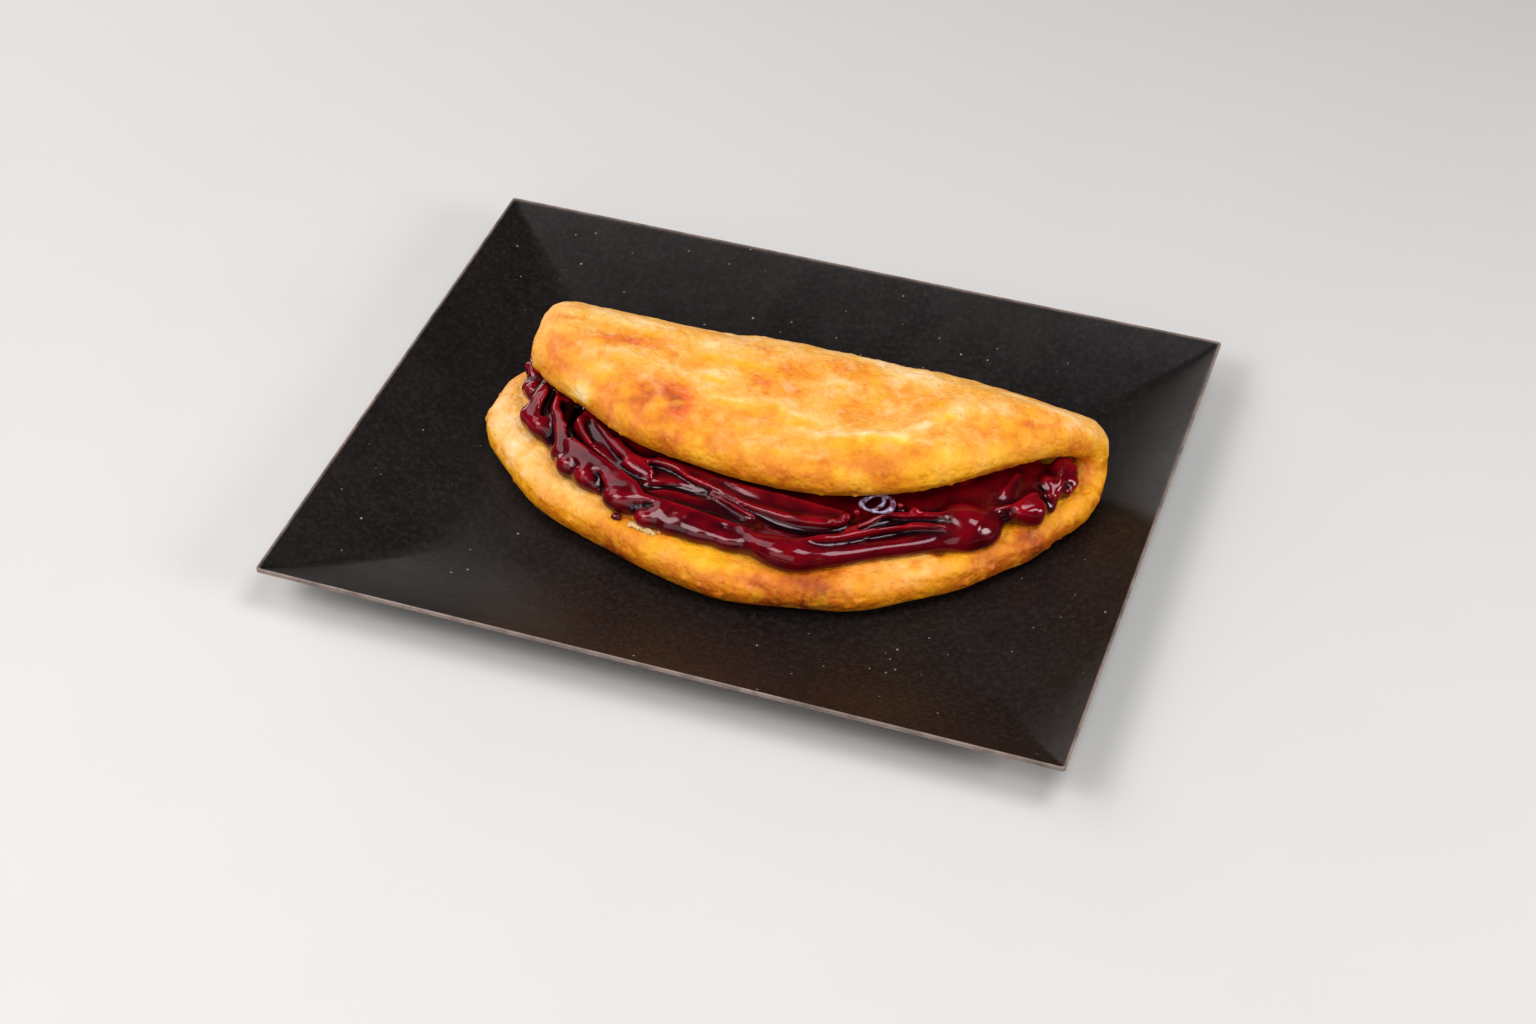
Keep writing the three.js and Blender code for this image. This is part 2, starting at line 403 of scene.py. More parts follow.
def make_bread_shape():
    """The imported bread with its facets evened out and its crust's relief added."""
    points, triangles = node_mesh("bread")
    points, quads = surface(level_set(points, BREAD_VOXEL, triangles=triangles))
    points = smoothed(points, quads, rounds=round(BREAD_SMOOTHING / BREAD_VOXEL**2))
    normals = point_normals(points, quads)
    flap, lower = bread_surfaces(points, normals)
    points = reach_out(points)

    # Slow swells, puckers, and blisters left by the frying along the rim.
    swell = 0.5 * noise(points, 21, 1) + 0.4 * noise(points, 10, 2)
    blisters = np.maximum(noise(points, 2.2, 5) - 0.3, 0) * 1.3
    at_rim = (1 - flap) * (1 - lower) * ramp(points[:, 2], 3, 7)
    relief = swell * (0.5 + 0.5 * flap) + puckers(points) + blisters * at_rim
    relief += flap * marked(points, FLAP_RELIEF) + lower * marked(points, LOWER_RELIEF)

    # The underside lies on the plate, so it keeps its shape.
    relief *= ramp(points[:, 2], 2.2, 6) * np.where(normals[:, 2] < -0.5, 0.25, 1)
    return points + normals * relief[:, None], quads


# ------------ bread: browning, with some painted highlight and shade

WAVER = 1.6  # how far the outline of a patch of browning strays
WAVER_SIZE = 9

# Steps of browning: below 0 pale, above 0 orange, and about 3 red-brown.
FLAP_BROWNING_AND_HIGHLIGHTS = [
    (-27, -6, 8, 4, 0, 1.2), (-36, -7, 4, 4, 0, -0.9), (-19.5, -11, 7.5, 4, -70, 2.2),
    (-36, 9, 6, 3, 0, 0.8), (-29, -10, 16, 9, 0, 2.1), (-24, -1, 7, 3, -8, 1.4),
    (-25.5, -11, 2.6, 3, 0, -2.4), (-45, 11, 12, 5, 8, 1.8), (-40, 10, 5, 1.4, 0, 1.6),
    (-28, 8.5, 1.5, 1.2, 0, 1.6), (-57, -3, 8, 5, -20, 1.8), (-38, -2, 5, 3, 0, 1),
    (-21, 7, 5, 2, 0, 1.2), (-62, 14, 5, 1.2, 8, 2), (-63, 4, 4, 2.4, 0, 1.8),
    (-43, -14, 5, 4, -20, 1.6), (-19, -21, 5, 3, -12, 1.4), (1, -23, 9, 2.4, -10, 0.5),
    (22, -24, 14, 2.4, -3, 1.2), (-52, -14, 12, 3, -35, -1.9), (-3, -19, 6, 4, -60, 1.8),
    (4, -6, 9, 7, 0, 1.4), (22, 20, 7, 5, 0, 1.8), (5, 13, 6, 4, 0, 0.8), (63, 7, 5, 8, -10, 0.8),
    (-3, 7, 8, 4, 0, 1.8), (-6, 19, 6, 3, 0, 1.2), (10, 11, 9, 5, 55, 1.8), (29, 3, 8, 6, 10, 1.5),
    (45, 6, 8, 5, 15, 1.2), (52, -1, 6, 2, 10, 1.2), (47, -8, 6, 2, 10, 1.2), (36, -14, 8, 4, 0, 0.8),
    (43, -15, 10, 5, 5, 1.5), (24, -20, 10, 3, 0, 1.5), (73, 7, 8, 2.4, 12, 0.9),
    (77, 14, 6, 1.4, 8, 1.2), (86, 17, 8, 5, 0, 1.6), (65, 0, 4, 7, -20, 1), (33, 17, 8, 5, 0, 0.9),
    # Pale crests, paler partly in tone and partly as a painted highlight where light catches them.
    (-47, -3, 6, 2, 0, -1.6), (-42, 5, 6, 2, 10, -1.5), (-43, 20, 10, 4, 0, -1.4),
    (28, 26, 10, 5, 0, -1.6), (11, 11, 4, 3, 0, -1.6), (-15, 5, 7, 2.4, 10, -1.8),
    (-20, 17, 6, 4, 0, -1.2), (-3, -2, 12, 2.6, 5, -1.2), (15, -4, 7, 4, 0, -1.2),
    (73, 3, 9, 3.4, 15, -1.4), (26, -9.5, 9, 1.8, 8, -1.5), (38, -6, 9, 1.5, 16, -1.6),
    (48, 2, 8, 1.5, 48, -1.8), (56, 11, 9, 2.4, 25, -1.6), (42, 23, 8, 3, 0, -1.4),
    (72, 24, 16, 1.8, -3, -2), (-50.5, -11.5, 3, 3, 0, -2.2), (-46, -14, 10, 4, -35, -1.2),
    (-4, -21.5, 5, 1.4, -12, -1.6), (60, -6, 8, 4, 20, -1.2), (33, -20.5, 8, 1.3, 0, -1.2),
]

PATCH_TOP_Z = 20  # the lower layer's patches end at this height
LOWER_BROWNING_AND_SHADE = [
    (-68, -16, 22, 10, -45, -1.2), (-40, -36, 18, 4, -25, -1.3), (2, -45, 14, 4, -5, -1.7),
    # On the next line, the mark at (90, 8) is partly browning and partly painted shade where the lower
    # layer lies in shade near the jam's right-hand end.
    (90, 8, 4, 8, 0, 0.7), (56, -29, 13, 4, 25, -1.2), (56, -28.5, 2.4, 1.6, 0, 2),
    (61, -22.5, 2.6, 2, 0, 2.4), (84, -7.5, 6, 4, 45, 3), (91.5, 20, 2.6, 3, 0, 2),
    (30, -42, 8, 3, 10, 1.4), (-19, -40, 14, 2.6, -12, 1.9), (22, -44, 24, 5, 6, 1.3),
    # On the next line, the mark at (-28, -38) is partly browning and partly painted shade where the
    # jam's front foot meets the lower layer.
    (52, -31, 16, 4, 30, 0.8), (-28, -38, 12, 3, -20, 0.8), (75, -17, 8, 4, 45, 1.2),
    (15, -51, 12, 3, 0, 0.6), (32, -47, 9, 3, 5, 1.6), (-1, -50, 7, 3, -6, 1),
    (17, -49, 9, 2.2, -4, 1.6), (-30, -43, 9, 3, -25, 2.2), (-52, -33, 9, 3, -35, 1.4),
    (70, -26, 8, 3, 35, 1), (89, 12, 6, 3, 70, -0.8),
]


def browning_and_painted_light(points, normals):
    """Steps of browning over the bread, with some painted highlight and shade in them, and how far its
    skin is thin, oily and amber.
    """
    x, y, z = points.T
    flap, lower = bread_surfaces(points, normals)
    side = (1 - flap) * (1 - lower)
    lip = (0.3 + 0.7 * ramp(x, -50, -34)) * flap
    inside_fold = ramp(x, 80, 88) * ramp(-normals[:, 0], -0.1, 0.3)
    front = lower * np.maximum(ramp(y, -34, -44), ramp(x, 58, 76))

    patch_steps_and_painted_light = flap * marked(points, FLAP_BROWNING_AND_HIGHLIGHTS, WAVER, seed=20)
    patch_steps_and_painted_light += (lower + side) * marked(points, LOWER_BROWNING_AND_SHADE, WAVER, seed=30) * (z < PATCH_TOP_Z)
    patch_steps_and_painted_light += 0.5 * lower + 1.4 * side - 0.12 * flap + 2.8 * inside_fold
    patch_steps_and_painted_light += 0.5 * lip * ramp(-normals[:, 1], 0.2, 0.7)
    patch_steps_and_painted_light += 0.55 * rough_noise(points, 12, 40) + 0.3 * rough_noise(points, 3.6, 44)
    # Partly the crust's tone, partly painted highlight and shade: paler on the puckers' crests and
    # browner in the creases between them.
    patch_steps_and_painted_light -= 2 * puckers(points)

    amber = 1.1 * side + 0.8 * lip * ramp(-normals[:, 1], 0, 0.45) + inside_fold + 0.8 * front
    amber = np.clip(amber, 0, 1) + 0.8 * (1 - flap) * ramp(patch_steps_and_painted_light, 1.6, 3)
    amber = np.clip(amber + 0.2 + 0.4 * rough_noise(points, 7, 50), 0, 1)
    return patch_steps_and_painted_light, amber


def bread_material():
    """Crust that is dry and pale or brown, and oily and amber where it is thin."""
    nodes = Nodes("fried_dough")
    fine = nodes.fit(nodes.noise(2.4, detail=4, roughness=0.5), 0.3, 0.7, -0.5, 0.5)
    # The browning values also carry painted highlight on crests and painted shade in creases and beside
    # the jam.
    tone = nodes.fit(nodes.math("ADD", nodes.attribute("browning_and_painted_light"), fine), -3, 4)
    crust = nodes.ramp(tone, [
        (0.05, (246, 220, 188)), (0.25, (238, 192, 132)), (0.43, (229, 165, 78)),
        (0.60, (226, 140, 44)), (0.76, (218, 112, 40)), (0.90, (212, 94, 38)),
        (1, (188, 76, 30))])
    oily = nodes.ramp(tone, [
        (0.05, (240, 200, 100)), (0.30, (232, 170, 30)), (0.48, (220, 144, 8)),
        (0.66, (204, 114, 4)), (0.85, (174, 80, 4)), (1, (120, 46, 6))])
    amber = nodes.attribute("amber")
    colour = nodes.mix(amber, crust, oily)
    dry = nodes.math("SUBTRACT", 1, amber, clamp=True)
    cream = nodes.fit(nodes.noise(5, detail=3), 0.5, 0.72, 0, 0.55)
    colour = nodes.mix(nodes.math("MULTIPLY", cream, dry), colour, (242, 196, 140))
    golden = nodes.fit(nodes.noise(7, detail=3, roughness=0.6), 0.5, 0.7, 0, 0.6)
    colour = nodes.mix(golden, colour, (230, 162, 20))
    sparse = nodes.fit(nodes.noise(9, detail=1), 0.52, 0.6)
    specks = nodes.math("MULTIPLY", nodes.fit(nodes.cells(3.4), 0.10, 0.05), sparse)
    colour = nodes.mix(nodes.math("MULTIPLY", specks, 0.6), colour, (120, 62, 22))

    grain = nodes.bump(nodes.noise(0.9, detail=4, roughness=0.65), 0.16)
    pores = nodes.bump(nodes.fit(nodes.cells(1.5, feature="SMOOTH_F1"), 0, 0.5), 0.2, grain)
    relief = nodes.bump(nodes.noise(2.4, detail=4), 0.4, pores)
    nodes.set(
        Base_Color=colour, Normal=relief,
        Roughness=nodes.fit(nodes.noise(6, detail=4), 0.3, 0.7, 0.42, 0.62),
        IOR=1.36, Subsurface_Weight=0.22, Subsurface_Radius=(1, 0.45, 0.15), Subsurface_Scale=0.0022)
    return nodes.material


def make_bread():
    """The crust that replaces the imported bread. It gives its points and quads."""
    points, quads = make_bread_shape()
    steps_and_painted_light, amber = browning_and_painted_light(points, point_normals(points, quads))
    attributes = {"browning_and_painted_light": steps_and_painted_light, "amber": amber}
    piece = make_object("bread_crust", points, quads.tolist(), bread_material(), attributes)
    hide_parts("bread")
    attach(piece, "root")
    return points, quads


# ------------ jam: shape

FACING = np.array((-0.1, -0.45, 0.89))  # the way that most of the jam's surface faces
ROPE_STEP = 1.5


class Field:
    """Signed distances on a block of voxels, which shapes are added to and cut from."""

    def __init__(self, low, high, voxel):
        self.voxel = voxel
        self.start = np.floor(np.array(low) / voxel).astype(int)
        self.corner = tuple(self.start.tolist())
        self.shape = np.ceil(np.array(high) / voxel).astype(int) - self.start
        self.values = np.full(self.shape, BAND * voxel)

    def places(self, low=None, high=None):
        """The voxels' places between two corners, and the slices that hold them."""
        first = np.zeros(3, int) if low is None else np.floor(low / self.voxel).astype(int) - self.start
        last = self.shape if high is None else np.ceil(high / self.voxel).astype(int) + 1 - self.start
        first, last = np.clip(first, 0, self.shape), np.clip(last, 0, self.shape)
        axes = [(np.arange(a, b) + s) * self.voxel for a, b, s in zip(first, last, self.start)]
        return np.stack(np.meshgrid(*axes, indexing="ij"), axis=-1), tuple(map(slice, first, last))

    def of_mesh(self, points, **faces):
        """The distances to a mesh on this field's voxels."""
        values = np.empty(self.shape, dtype=np.float32)
        level_set(points, self.voxel, **faces).copyToArray(values, ijk=self.corner)
        return values.astype(float)

    def add_rope(self, rows, blend, facing=FACING, edge=None):
        """Joins a rope to the field. Each row gives its x, y, z and half thickness and, for a flat
        band that lies across the way it faces, its half width. edge rounds a band's edges."""
        rows = curve_through(rows)
        margin = rows[:, 3:].max() + blend + 0.5
        distance = np.full(self.shape, margin)
        for here, after in zip(rows, rows[1:]):
            ends = np.array([here[:3], after[:3]])
            places, near = self.places(ends.min(axis=0) - margin, ends.max(axis=0) + margin)
            along = after[:3] - here[:3]
            offset = places - here[:3]
            share = np.clip(offset @ along / (along @ along), 0, 1)
            thickness, width = (here[k] + share * (after[k] - here[k]) for k in (3, -1))
            offset = offset - share[..., None] * along
            side = np.cross(along, facing)
            sideways = offset @ (side / np.linalg.norm(side))
            upright = np.sqrt(np.maximum((offset**2).sum(axis=-1) - sideways**2, 0))
            radius = thickness if edge is None else edge
            past_side = np.maximum(abs(sideways) - width + radius, 0)
            past_top = np.maximum(upright - thickness + radius, 0)
            distance[near] = np.minimum(distance[near], np.hypot(past_side, past_top) - radius)
        _, block = self.places(rows[:, :3].min(axis=0) - margin, rows[:, :3].max(axis=0) + margin)
        self.values[block] = smooth_min(self.values[block], distance[block], blend)

    def add_ball(self, centre, radii, blend):
        """Joins an ellipsoid to the field."""
        centre, radii = np.array(centre, dtype=float), np.array(radii, dtype=float)
        margin = radii + MARGIN
        places, block = self.places(centre - margin, centre + margin)
        scaled = np.linalg.norm((places - centre) / radii, axis=-1)
        self.values[block] = smooth_min(self.values[block], (scaled - 1) * radii.min(), blend)

    def cut(self, add, *shape, blend):
        """Cuts out what add_rope or add_ball would join."""
        self.values = -self.values
        add(*shape, blend)
        self.values = -self.values

    def surface(self):
        """The surface of all that was added and cut, as points and outward quads."""
        grid = openvdb.FloatGrid(BAND * self.voxel)
        grid.transform = openvdb.createLinearTransform(voxelSize=self.voxel)
        near = np.clip(self.values, -BAND * self.voxel, BAND * self.voxel)
        grid.copyFromArray(near.astype(np.float32), ijk=self.corner)
        grid.gridClass = openvdb.GridClass.LEVEL_SET
        return surface(grid)


def curve_through(points):
    """A Catmull-Rom curve through rows of numbers, with a row about every ROPE_STEP."""
    rows = np.array(points, dtype=float)
    rows = np.vstack([2 * rows[0] - rows[1], rows, 2 * rows[-1] - rows[-2]])
    curve = []
    for a, b, c, d in zip(rows, rows[1:], rows[2:], rows[3:]):
        count = max(2, int(np.linalg.norm((c - b)[:3]) / ROPE_STEP))
        for t in np.arange(count) / count:
            bend = 2 * a - 5 * b + 4 * c - d + t * (3 * (b - c) + d - a)
            curve.append(b + 0.5 * t * (c - a + t * bend))
    return np.array(curve + [rows[-2]])


# The jam that wells out of the mouth, from left to right. Each row is a place along a ribbon or a
# crest: x, y and z on its surface, its half thickness and, for a ribbon, its half width.
RIBBON_FACING = np.array((-0.3, -0.4, 0.87))
JAM_RIBBONS = [
    # The sheet that folds over at the left-hand end, and the ribbon that twists out of the mouth.
    [(-64.6, 1.5, 24.4, 1.2, 1.6), (-65, -3, 24.2, 1.2, 2), (-65.7, -7.5, 23, 1.2, 2.4),
     (-66.4, -10.6, 20.8, 1.2, 2.2)],
    [(-57.6, -11.5, 23.4, 1.1, 1.4), (-55.4, -14.6, 22.7, 1.2, 2.2), (-53.7, -17.6, 21.9, 1.2, 2.5),
     (-52.6, -20.6, 20.9, 1.2, 2.3), (-51, -23.2, 20, 1.1, 1.8)],
    [(-50.4, -20.6, 22.2, 1.1, 1.2), (-48, -23, 22.1, 1.2, 2.2), (-44.3, -24.7, 22, 1.2, 2.5),
     (-39.7, -26.5, 21.7, 1.2, 2.3), (-35.4, -28, 21.5, 1.1, 1.8), (-30.6, -29.4, 21.3, 1, 1.5)],
    [(-35.6, -29.6, 21, 1.1, 1.6), (-32, -31.4, 20.6, 1.2, 2.6), (-28.4, -32.8, 20.4, 1.2, 2.7),
     (-24.6, -34.4, 20.2, 1.1, 1.8)],
    # The flat patch behind them, and the shelf along the middle of the mouth.
    [(-31.5, -23.6, 22.8, 1, 1.6), (-27.5, -24.8, 22.6, 1, 2.2), (-23.5, -26, 22.2, 1, 1.6)],
    [(-23, -18.6, 22.9, 1.2, 2.4), (-15, -19.8, 22.5, 1.2, 3.2), (-7, -21.8, 22.1, 1.2, 3.4),
     (1, -23.8, 21.9, 1.2, 3.6), (9, -26, 21.8, 1.2, 3.8), (18, -27.2, 21.8, 1.2, 3.8),
     (27, -26.8, 21.9, 1.2, 3.2), (34, -25.4, 21.8, 1.1, 2.2)],
    [(-4, -20.6, 22.9, 1, 0.9), (1, -22.2, 22.8, 1, 1.7), (7, -23.4, 22.6, 1, 1.7),
     (14, -23.4, 22.4, 1, 0.9)],
]
JAM_CRESTS = [
    # Edges of the ribbons.
    [(-60.2, -3, 24.2, 0.7), (-59.3, -7.5, 24, 0.8), (-58.4, -11, 23.6, 0.8)],
    [(-49.4, -19.2, 22.8, 0.6), (-45.8, -21.9, 22.8, 0.7), (-41, -24.2, 22.4, 0.7),
     (-36, -26, 22.1, 0.7), (-31, -28, 21.9, 0.7), (-27, -30, 21.6, 0.7), (-24, -32.6, 21.2, 0.8),
     (-22.6, -35.4, 19.8, 0.9)],
    [(-25.8, -30.5, 21.4, 0.6), (-23.6, -33, 21, 0.7), (-20.4, -34.4, 20.6, 0.8)],
    # Strands that hang from the flap behind them.
    [(-51, -11, 23.6, 0.9), (-49, -14.5, 23.8, 1.1), (-46.4, -17.6, 23.8, 1.1),
     (-43.6, -20.2, 23.3, 0.9)],
    [(-46, -10.5, 24, 1), (-42.6, -14.2, 24, 1.3), (-39.4, -17, 23.6, 1.2), (-35, -20.4, 23, 1),
     (-30.6, -23.4, 22.7, 0.8)],
    [(-36.5, -17.5, 23.6, 1), (-33, -20.4, 23.2, 1.2), (-29.4, -21.9, 22.9, 1.1),
     (-25.4, -22, 22.7, 0.8)],
    # The shelf's edge, and the step below it.
    [(-24.5, -21.5, 22.8, 0.7), (-20, -21.2, 22.7, 0.9), (-16.4, -21.9, 22.4, 0.9),
     (-12.8, -23.7, 22.1, 0.8), (-8.6, -24.6, 21.9, 0.8), (-4.7, -25.2, 21.7, 0.8),
     (-0.5, -26.4, 21.5, 0.9), (4.3, -28.2, 21.5, 0.9), (9.8, -29.4, 21.6, 1), (16, -29.9, 21.8, 1.1),
     (22, -30.3, 21.8, 1.2), (29, -29.4, 21.8, 1.1), (34, -27.8, 21.6, 0.7)],
    [(-5, -26.8, 20.4, 0.6), (0.9, -28.9, 20.6, 0.7), (5, -30.4, 20.6, 0.7), (8.3, -31.5, 20.6, 0.7),
     (13.7, -32.6, 20.5, 0.5)],
    # The rim of the pool in front of the shelf, round the big lobe.
    [(-26, -34.6, 20, 0.9), (-20.4, -34.3, 20.5, 1), (-15.6, -34.3, 20.4, 1), (-10, -34.5, 20.1, 1),
     (-3.4, -35, 19.8, 1), (4.8, -36.2, 19.8, 1), (9.5, -37.2, 19.9, 1.1), (12, -38.9, 19.4, 1.2),
     (15.6, -41, 18.3, 1.4)],
    # The two crests that run on to the right.
    [(24.5, -38, 20.8, 1), (29.9, -35.7, 21.5, 1.2), (35, -33, 21.3, 1.3), (41.4, -28.3, 21, 1.3),
     (47.3, -24.1, 20.8, 1.3), (51.5, -22.1, 21, 1.3), (56.9, -20.6, 21.3, 1.2),
     (61.5, -19.7, 20.9, 1.1), (65, -19.4, 19.8, 1.2)],
    [(36, -29.8, 21.2, 0.6), (40.6, -25.4, 21.3, 0.8), (44.7, -20.7, 21.5, 0.8),
     (50.6, -18.9, 21.6, 0.9), (55.9, -17.3, 21.9, 0.9), (60, -15.9, 21.9, 0.9), (64.5, -13, 21.8, 0.8)],
    # Folds at the right-hand end.
    [(72.4, -9, 20.8, 0.9), (75.6, -6.8, 21.4, 0.9), (78.6, -5, 21.6, 1), (80.4, -2.6, 21.9, 1.1),
     (82, 0.4, 21.7, 1)],
    [(85.4, 0.6, 17, 2), (85.6, 4, 19.4, 2.2), (83.6, 7, 21.6, 2)],
    [(73.4, -2.4, 21.8, 0.7), (74.6, 1.6, 22.2, 0.8), (75.4, 6, 22.6, 0.8)],
]

# Lobes and lumps: x, y and z of the middle, and half sizes along X, Y and Z.
JAM_LUMPS = [
    (-73.8, 10.4, 20.4, 2.2, 3.2, 3.2), (-71.8, 4.8, 21.6, 2.4, 2.8, 2.8),
    (-72.2, 0.8, 18.8, 2.2, 2.4, 2.6), (-69.2, -1.6, 20.8, 2.6, 3, 3), (-66.2, -9.6, 17.6, 4, 4, 4.2),
    (-62, -13.4, 18.2, 4.2, 3.4, 3.6), (-53.4, -20.8, 16.6, 2.6, 3, 3.2),
    (-48.6, -25.2, 16.8, 4, 3.4, 3.8), (-42, -28.4, 17, 3.6, 3.2, 3.8),
    (-29.2, -33.8, 16.6, 5.6, 3.8, 4), (-15.8, -35.6, 17, 3.6, 3, 3.4),
    (-9.8, -36.6, 16.6, 3.4, 2.8, 3.4), (-3, -37, 16.2, 4.4, 2.8, 3.2), (-20, -38, 15.6, 3.6, 2.6, 3),
    (-12.4, -38.5, 15.2, 4.4, 2.8, 3.2), (-4, -39.3, 15, 5, 2.6, 3.2), (5, -39.6, 15.4, 5, 2.8, 3.4),
    (22, -40.4, 16.6, 8, 4.4, 4.6), (33.4, -28.2, 21.8, 1.3, 1.3, 0.9), (35.4, -25.6, 22.2, 1.5, 1.4, 1),
    (37.4, -23, 22.2, 1.4, 1.3, 1), (47.9, -16.1, 21.8, 1.4, 1, 0.8), (52.4, -16.7, 21.8, 1.4, 1, 0.8),
    (64, -13.4, 20.8, 4.4, 3.2, 1.8), (69.6, -12.6, 15.6, 7, 6.2, 5.6), (66.6, -15.6, 15.6, 5.4, 5, 5),
    (65.6, -18.4, 14.8, 4.4, 3.6, 4.2), (79.4, -5.4, 18.6, 2.2, 2.2, 2.6),
    (82.4, -1.8, 16.8, 4, 4.6, 4.6), (87, 9, 18.2, 3.2, 4.2, 3.6), (89.6, 13.4, 17.8, 2.6, 4, 3.4),
    (86.4, 15, 20.4, 3.2, 4, 2.6),
]

# The lower front face, and the heavy mass on the right of it: x, y, z, half thickness.
JAM_FOOT = [
    [(-64, -10, 15, 2), (-55, -18.6, 15.2, 2.2), (-46, -25.4, 15.2, 2.2), (-36, -30.4, 15.2, 2.2),
     (-26, -33.6, 15.2, 2.2), (-12, -35.8, 15.4, 2.2), (2, -37.4, 15.4, 2.4), (20, -38.6, 15.6, 2.6),
     (34, -35.8, 15.8, 2.6), (44, -30.4, 15.8, 2.4), (54, -24.6, 15.8, 2.4), (64, -19, 15.8, 2.4)],
    [(10, -38.2, 16.2, 2.8), (17, -39.6, 16.6, 3.6), (24, -40.2, 16.6, 3.8), (31, -38.6, 16.2, 3.2),
     (38.4, -34.8, 15.8, 2.5), (46.5, -29.8, 15.8, 2.3), (55.4, -25, 15.8, 2.3), (63, -20, 15.8, 2.3)],
]

# Grooves: x, y and z of their bottom, and their radius.
JAM_GROOVES = [
    [(-23.6, -30.4, 20.6, 0.8), (-20.4, -28.6, 19.8, 1.3), (-16, -26.8, 19.6, 1.3),
     (-11, -26.8, 19.4, 1.2), (-6, -27.4, 19.6, 0.8)],
    [(-36.8, -31.4, 20, 0.9), (-36.2, -32.6, 18, 1.1), (-35.8, -33.4, 15.4, 1.2)],
    [(11, -31.8, 20, 0.8), (16, -32.4, 19.6, 1.2), (23, -32.8, 19.6, 1.3), (31, -31.5, 19.6, 1.1),
     (37, -29, 20, 0.7)],
    [(40, -28, 20.2, 0.7), (46, -23.2, 20, 1), (53, -19.9, 20.2, 1), (59, -18.2, 20.3, 0.8)],
    [(-56.6, -7, 22, 1.6), (-54.8, -11, 21.4, 1.8), (-51.6, -16, 20.8, 1.8), (-46.4, -20.4, 20.6, 1.5),
     (-41, -23, 20.4, 1.2), (-34, -26, 20.4, 1)],
    [(-62.6, -3, 22.6, 1.2), (-62.2, -8, 21.6, 1.4), (-61.4, -11.4, 20.6, 1.2)],
    [(-47.6, -13.5, 23.2, 0.8), (-44.4, -17.4, 22.8, 1), (-40.6, -20.6, 22.4, 0.9)],
    [(76, -8.6, 19, 0.9), (77.2, -9.6, 17.6, 1.4), (78.2, -10, 15.4, 1.6)],
]

# A deep, dark hollow under the edge of the flap: place, and half sizes along X, Y and Z.
JAM_HOLLOW = ((-53.2, -6.8, 22.6), (2.6, 6.4, 5.4))

BUBBLE = (41.9, -18.2, 21.5)  # a bubble that burst as the jam was spread, and left a rim
BUBBLE_LONG = np.array((0.94, 0.34, 0))  # the way it is longest, and the way across
BUBBLE_ACROSS = np.array((-0.34, 0.94, 0))

SOLID_INSET = 1.4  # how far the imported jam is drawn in, to leave room for its forms
EDGE_INSET = 0.5  # how much further along its front edge and at its two ends
JAM_MIDDLE = 7  # where along X it is half way between its two ends
JAM_SMOOTHING = 8  # in square millimetres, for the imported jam's facets
CALM_SMOOTHING = 6  # and for the heavy lobes in front
JAM_TAPER = 0.35  # how much narrower the jam is for each millimetre that it sinks
JAM_FILL = 1.6  # how far it swells again where it comes near the upper layer
JAM_GAP = 0.12  # how far it stays off the lower layer, and how much further off the upper one
FLAP_GAP = 1


def sunk(rows, facing):
    """The rows of a rope moved in by its half thickness, from its surface to its middle."""
    rows = np.array(rows, dtype=float)
    rows[:, :3] -= rows[:, 3:4] * facing
    return rows


def jam_core(field, places, bread, under_flap):
    """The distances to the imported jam, drawn in, and filled up under the upper layer."""
    points, triangles = node_mesh("cherry_jam")
    voxel = 2 * JAM_VOXEL
    points, quads = surface(level_set(points, voxel, triangles=triangles))
    points = smoothed(points, quads, rounds=round(JAM_SMOOTHING / voxel**2))
    at_front = ramp(bend_start(places[..., 0]) - places[..., 1], 30, 42)
    at_ends = ramp(abs(places[..., 0] - JAM_MIDDLE), 64, 74)
    inset = SOLID_INSET + EDGE_INSET * np.maximum(at_front, at_ends)
    return field.of_mesh(points, quads=quads) + inset - JAM_FILL * under_flap * ramp(bread, 2, 0)


def add_jam_forms(field):
    """Adds the jam's foot, lumps, ribbons and crests, and cuts its grooves and hollows."""
    for rows in JAM_FOOT:
        field.add_rope(rows, blend=2)
    for row in JAM_LUMPS:
        field.add_ball(row[:3], row[3:], blend=0.75 * min(row[3:]))
    for rows in JAM_RIBBONS:
        field.add_rope(sunk(rows, RIBBON_FACING), blend=0.9, facing=RIBBON_FACING, edge=0.6)
    for rows in JAM_CRESTS:
        field.add_rope(sunk(rows, FACING), blend=1)
    for rows in JAM_GROOVES:
        field.cut(field.add_rope, rows, blend=0.7)
    field.cut(field.add_ball, *JAM_HOLLOW, blend=0.9)
    field.cut(field.add_ball, np.array(BUBBLE) + (0, 0, 0.8), (3.9, 3.3, 3.2), blend=0.4)


def roughen_jam(field, places):
    """Crumples the jam's two ends, and lets the top of the rest flow along the mouth."""
    flow = places * (0.45, 1, 1)
    field.values += ramp(places[..., 2], 19, 21) * (0.3 * abs(noise(flow, 4.4, 60)) - 0.12)
    crumple = ramp(abs(places[..., 0] - JAM_MIDDLE), 75, 80)
    field.values += 0.9 * crumple * rough_noise(places, 2.6, 61, octaves=2)


def settle_jam(field, bread, under_flap):
    """Sinks the jam onto the lower layer, narrowing on the way, and keeps it off the bread."""
    for layer in range(field.shape[2] - 2, -1, -1):
        above = field.values[:, :, layer + 1] + JAM_TAPER * JAM_VOXEL
        field.values[:, :, layer] = np.minimum(field.values[:, :, layer], above)
    field.values = np.maximum(field.values, JAM_GAP + FLAP_GAP * under_flap - bread)


